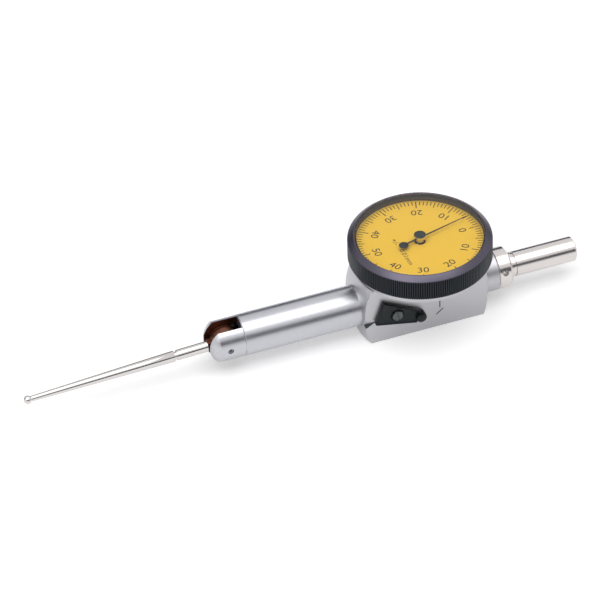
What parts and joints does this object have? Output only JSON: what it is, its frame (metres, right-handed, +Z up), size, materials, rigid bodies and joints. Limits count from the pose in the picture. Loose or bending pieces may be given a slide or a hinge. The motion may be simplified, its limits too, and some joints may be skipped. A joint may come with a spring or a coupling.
{
  "type": "dial test indicator",
  "caption": "Lever-type dial test indicator: a ball-ended stylus swings a rocker whose gear train turns a pointer over a round dial; a rear stem clamps it in a holder.",
  "frame": {"origin": "root of the 6 mm clamping stem, on its axis, at the face of its collar", "axes": "+X out along the stem, away from the stylus; +Z up through the dial; -Y is the near side with the changeover lever"},
  "size_m": [0.136, 0.0336, 0.0245],
  "materials": {
    "satin_body": "satin plated",
    "satin_tube": "satin chromed",
    "polished_steel": "polished",
    "hardened_steel": "ground",
    "blued_steel": "blackened",
    "brass_parts": "turned",
    "black_bezel": "black oxide",
    "crystal_glass": "clear",
    "rubber_seal": "matte",
    "dial_print": "semi-matt lacquer",
    "black_lever": "black oxide"
  },
  "bodies": {
    "frame": {"housing": "satin_body", "neck_tube": "satin_tube", "fork_head": "satin_tube", "pivot_screws": "hardened_steel", "stem": "polished_steel", "movement_plate_near": "brass_parts", "movement_plate_far": "brass_parts", "plate_pillars": "brass_parts", "plate_screws": "hardened_steel", "top_bridge": "brass_parts", "footstep_bridge": "brass_parts", "stop_pins": "hardened_steel", "hairspring_stud": "hardened_steel", "hairspring": "hardened_steel", "dial_case": "satin_body", "case_screws": "hardened_steel", "bezel_wire": "hardened_steel", "lever_washer": "hardened_steel"},
    "bezel": {"bezel_ring": "black_bezel", "crystal": "crystal_glass", "crystal_gasket": "rubber_seal", "dial_face": "dial_print", "dial_carrier": "brass_parts"},
    "pointer": {"centre_arbor": "hardened_steel", "pointer_hub": "polished_steel", "pointer": "blued_steel", "hairspring_collet": "brass_parts"},
    "crown": {"crown_wheel": "brass_parts", "crown_pinion_arbor": "hardened_steel"},
    "sector": {"sector_gear": "brass_parts", "sector_arbor": "hardened_steel", "input_pin": "hardened_steel"},
    "rocker": {"rocker_lever": "blued_steel", "rocker_arbor": "hardened_steel", "clutch_washers": "brass_parts", "clutch_screw": "hardened_steel"},
    "stylus_body": {"stylus_holder": "blued_steel", "stylus": "polished_steel", "stylus_ball": "polished_steel"},
    "reversal_lever": {"changeover_lever": "black_lever", "changeover_cam": "black_lever", "changeover_screw": "blued_steel"}
  },
  "joints": [
    {"name": "bezel_turn", "type": "hinge", "parent": "frame", "child": "bezel", "pos_m": [-0.02165, 0, 0.0123], "axis": [0, 0, 1], "continuous": true},
    {"name": "pointer_turn", "type": "hinge", "parent": "frame", "child": "pointer", "pos_m": [-0.02165, 0, 0.009], "axis": [0, 0, 1], "range_deg": [-440, 4]},
    {"name": "crown_turn", "type": "hinge", "parent": "frame", "child": "crown", "pos_m": [-0.02165, 0, 0], "axis": [0, 1, 0], "range_deg": [-2, 147]},
    {"name": "sector_swing", "type": "hinge", "parent": "frame", "child": "sector", "pos_m": [-0.03115, 0, 0], "axis": [0, 1, 0], "range_deg": [-18.5, 0.5]},
    {"name": "rocker_swing", "type": "hinge", "parent": "frame", "child": "rocker", "pos_m": [-0.07025, 0, 0], "axis": [0, 1, 0], "range_deg": [0, 1.44], "stiffness_Nm_per_rad": 0.03, "springref_deg": -5.73},
    {"name": "stylus_set", "type": "hinge", "parent": "rocker", "child": "stylus_body", "pos_m": [-0.07025, 0, 0], "axis": [0, 1, 0], "range_deg": [-110, 110]},
    {"name": "reversal_turn", "type": "hinge", "parent": "frame", "child": "reversal_lever", "pos_m": [-0.0302, 0, -0.00015], "axis": [0, -1, 0], "range_deg": [0, 40]}
  ],
  "couplings": [
    {"joint": "sector_swing", "follows": "rocker_swing", "ratio": -12.481},
    {"joint": "crown_turn", "follows": "rocker_swing", "ratio": 99.851},
    {"joint": "pointer_turn", "follows": "rocker_swing", "ratio": -299.55}
  ]
}
